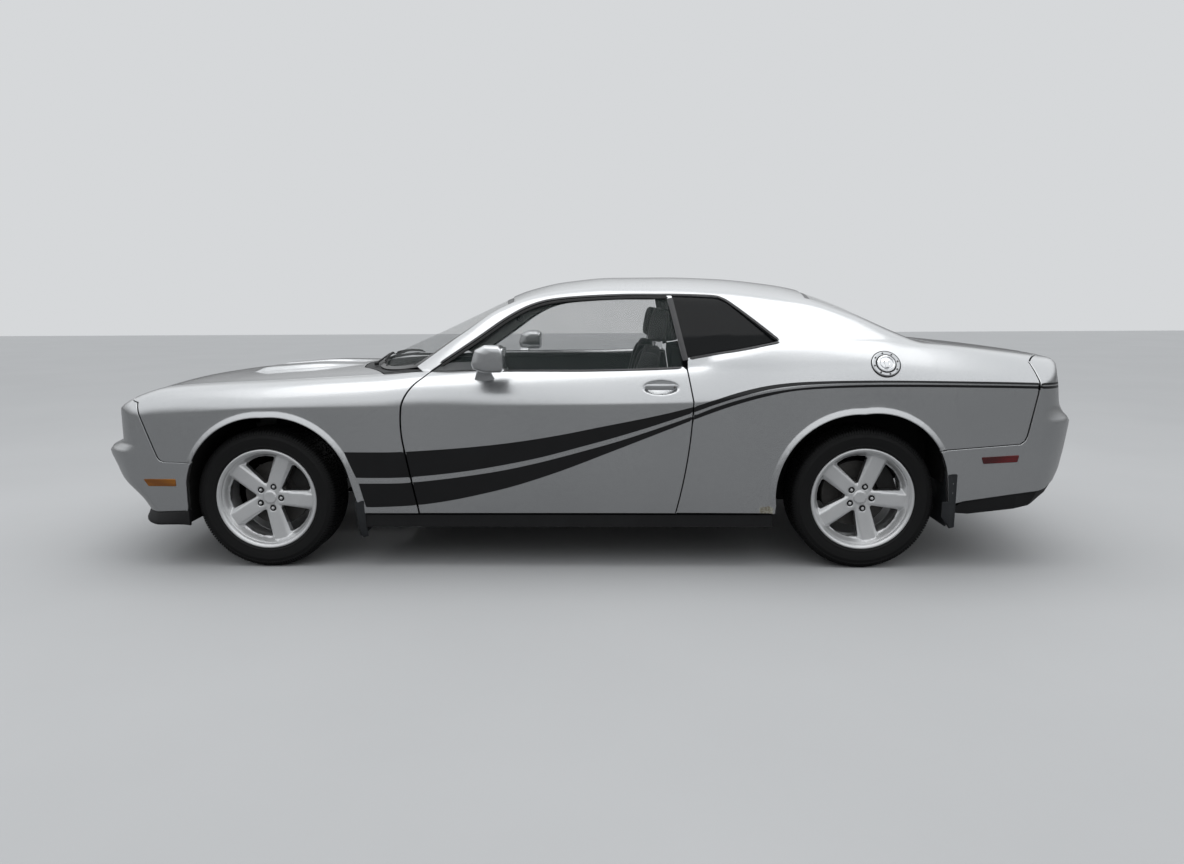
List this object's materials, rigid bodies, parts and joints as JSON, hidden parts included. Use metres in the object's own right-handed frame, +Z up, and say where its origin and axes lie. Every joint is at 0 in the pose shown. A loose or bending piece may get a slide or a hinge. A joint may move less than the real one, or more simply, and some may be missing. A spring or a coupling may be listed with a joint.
{
  "type": "two-door muscle coupe",
  "caption": "Silver two-door muscle coupe with long hood, black side stripes, round headlamps, five-spoke wheels, opening doors, hood and boot lid, and steering front wheels.",
  "frame": {"origin": "on the ground under the middle of the car", "axes": "+X towards the tail, +Y towards the car's right side, +Z up"},
  "size_m": [5.0218, 2.17, 1.447],
  "materials": {
    "silver_paint": "metallic clear coat",
    "tyre_rubber": "matte",
    "alloy": "silver lacquer",
    "tinted_glass": "tinted",
    "clear_lens": "clear",
    "red_lens": "gloss",
    "chrome_trim": "polished",
    "black_plastic": "satin",
    "seat_cloth": "woven",
    "dark_trim": "grained",
    "cast_metal": "raw",
    "exhaust_steel": "dull",
    "dark_structure": "primer"
  },
  "bodies": {
    "body": {"boot_tub": "dark_structure", "chin_spoiler": "black_plastic", "console": "dark_trim", "cowl": "black_plastic", "dashboard": "dark_trim", "engine_block": "cast_metal", "exhaust": "exhaust_steel", "fender_left": "silver_paint", "fender_right": "silver_paint", "floor_pan": "dark_structure", "front_fascia": "silver_paint", "front_seat_left": "seat_cloth", "front_seat_right": "seat_cloth", "front_structure": "dark_structure", "front_struts": "cast_metal", "front_subframe": "cast_metal", "fuel_cap": "chrome_trim", "grille": "black_plastic", "headlamps": "clear_lens", "mud_flaps": "black_plastic", "parcel_shelf": "dark_trim", "quarter_glass": "tinted_glass", "quarter_left": "silver_paint", "quarter_right": "silver_paint", "rear_axle": "cast_metal", "rear_deck": "silver_paint", "rear_fascia": "silver_paint", "rear_seat": "seat_cloth", "rear_valance": "black_plastic", "rear_window": "tinted_glass", "roof_panel": "silver_paint", "side_trims": "dark_trim", "sills": "black_plastic", "steering_wheel": "dark_trim", "tail_lamps": "red_lens", "wheelhouses": "dark_structure", "windscreen": "tinted_glass"},
    "hood": {"hood": "silver_paint"},
    "boot_lid": {"boot_lid": "silver_paint"},
    "door_left": {"door_left": "silver_paint", "door_glass_left": "tinted_glass", "mirror_left": "silver_paint", "handle_left": "chrome_trim"},
    "door_right": {"door_right": "silver_paint", "door_glass_right": "tinted_glass", "mirror_right": "silver_paint", "handle_right": "chrome_trim"},
    "knuckle_left": {"knuckle_left": "cast_metal"},
    "knuckle_right": {"knuckle_right": "cast_metal"},
    "wheel_front_left": {"rim_front_left": "alloy", "tyre_front_left": "tyre_rubber"},
    "wheel_front_right": {"rim_front_right": "alloy", "tyre_front_right": "tyre_rubber"},
    "wheel_rear_left": {"rim_rear_left": "alloy", "tyre_rear_left": "tyre_rubber"},
    "wheel_rear_right": {"rim_rear_right": "alloy", "tyre_rear_right": "tyre_rubber"}
  },
  "joints": [
    {"name": "door_left_hinge", "type": "hinge", "parent": "body", "child": "door_left", "pos_m": [-0.893, -0.93, 0.7], "axis": [0, 0, -1], "range_deg": [0, 62]},
    {"name": "door_right_hinge", "type": "hinge", "parent": "body", "child": "door_right", "pos_m": [-0.893, 0.93, 0.7], "axis": [0, 0, 1], "range_deg": [0, 62]},
    {"name": "hood_hinge", "type": "hinge", "parent": "body", "child": "hood", "pos_m": [-0.9675, 0, 0.944], "axis": [0, 1, 0], "range_deg": [0, 50]},
    {"name": "boot_lid_hinge", "type": "hinge", "parent": "body", "child": "boot_lid", "pos_m": [1.7575, 0, 1.086], "axis": [0, -1, 0], "range_deg": [0, 75]},
    {"name": "steer_left", "type": "hinge", "parent": "body", "child": "knuckle_left", "pos_m": [-1.566, -0.708, 0.35], "axis": [0, 0, 1], "range_deg": [-33, 33]},
    {"name": "steer_right", "type": "hinge", "parent": "body", "child": "knuckle_right", "pos_m": [-1.566, 0.708, 0.35], "axis": [0, 0, 1], "range_deg": [-33, 33]},
    {"name": "spin_front_left", "type": "hinge", "parent": "knuckle_left", "child": "wheel_front_left", "pos_m": [-1.566, -0.8, 0.35], "axis": [0, 1, 0], "continuous": true},
    {"name": "spin_front_right", "type": "hinge", "parent": "knuckle_right", "child": "wheel_front_right", "pos_m": [-1.566, 0.8, 0.35], "axis": [0, 1, 0], "continuous": true},
    {"name": "spin_rear_left", "type": "hinge", "parent": "body", "child": "wheel_rear_left", "pos_m": [1.38, -0.8, 0.35], "axis": [0, 1, 0], "continuous": true},
    {"name": "spin_rear_right", "type": "hinge", "parent": "body", "child": "wheel_rear_right", "pos_m": [1.38, 0.8, 0.35], "axis": [0, 1, 0], "continuous": true}
  ],
  "couplings": [
    {"joint": "steer_right", "follows": "steer_left", "ratio": 1}
  ]
}
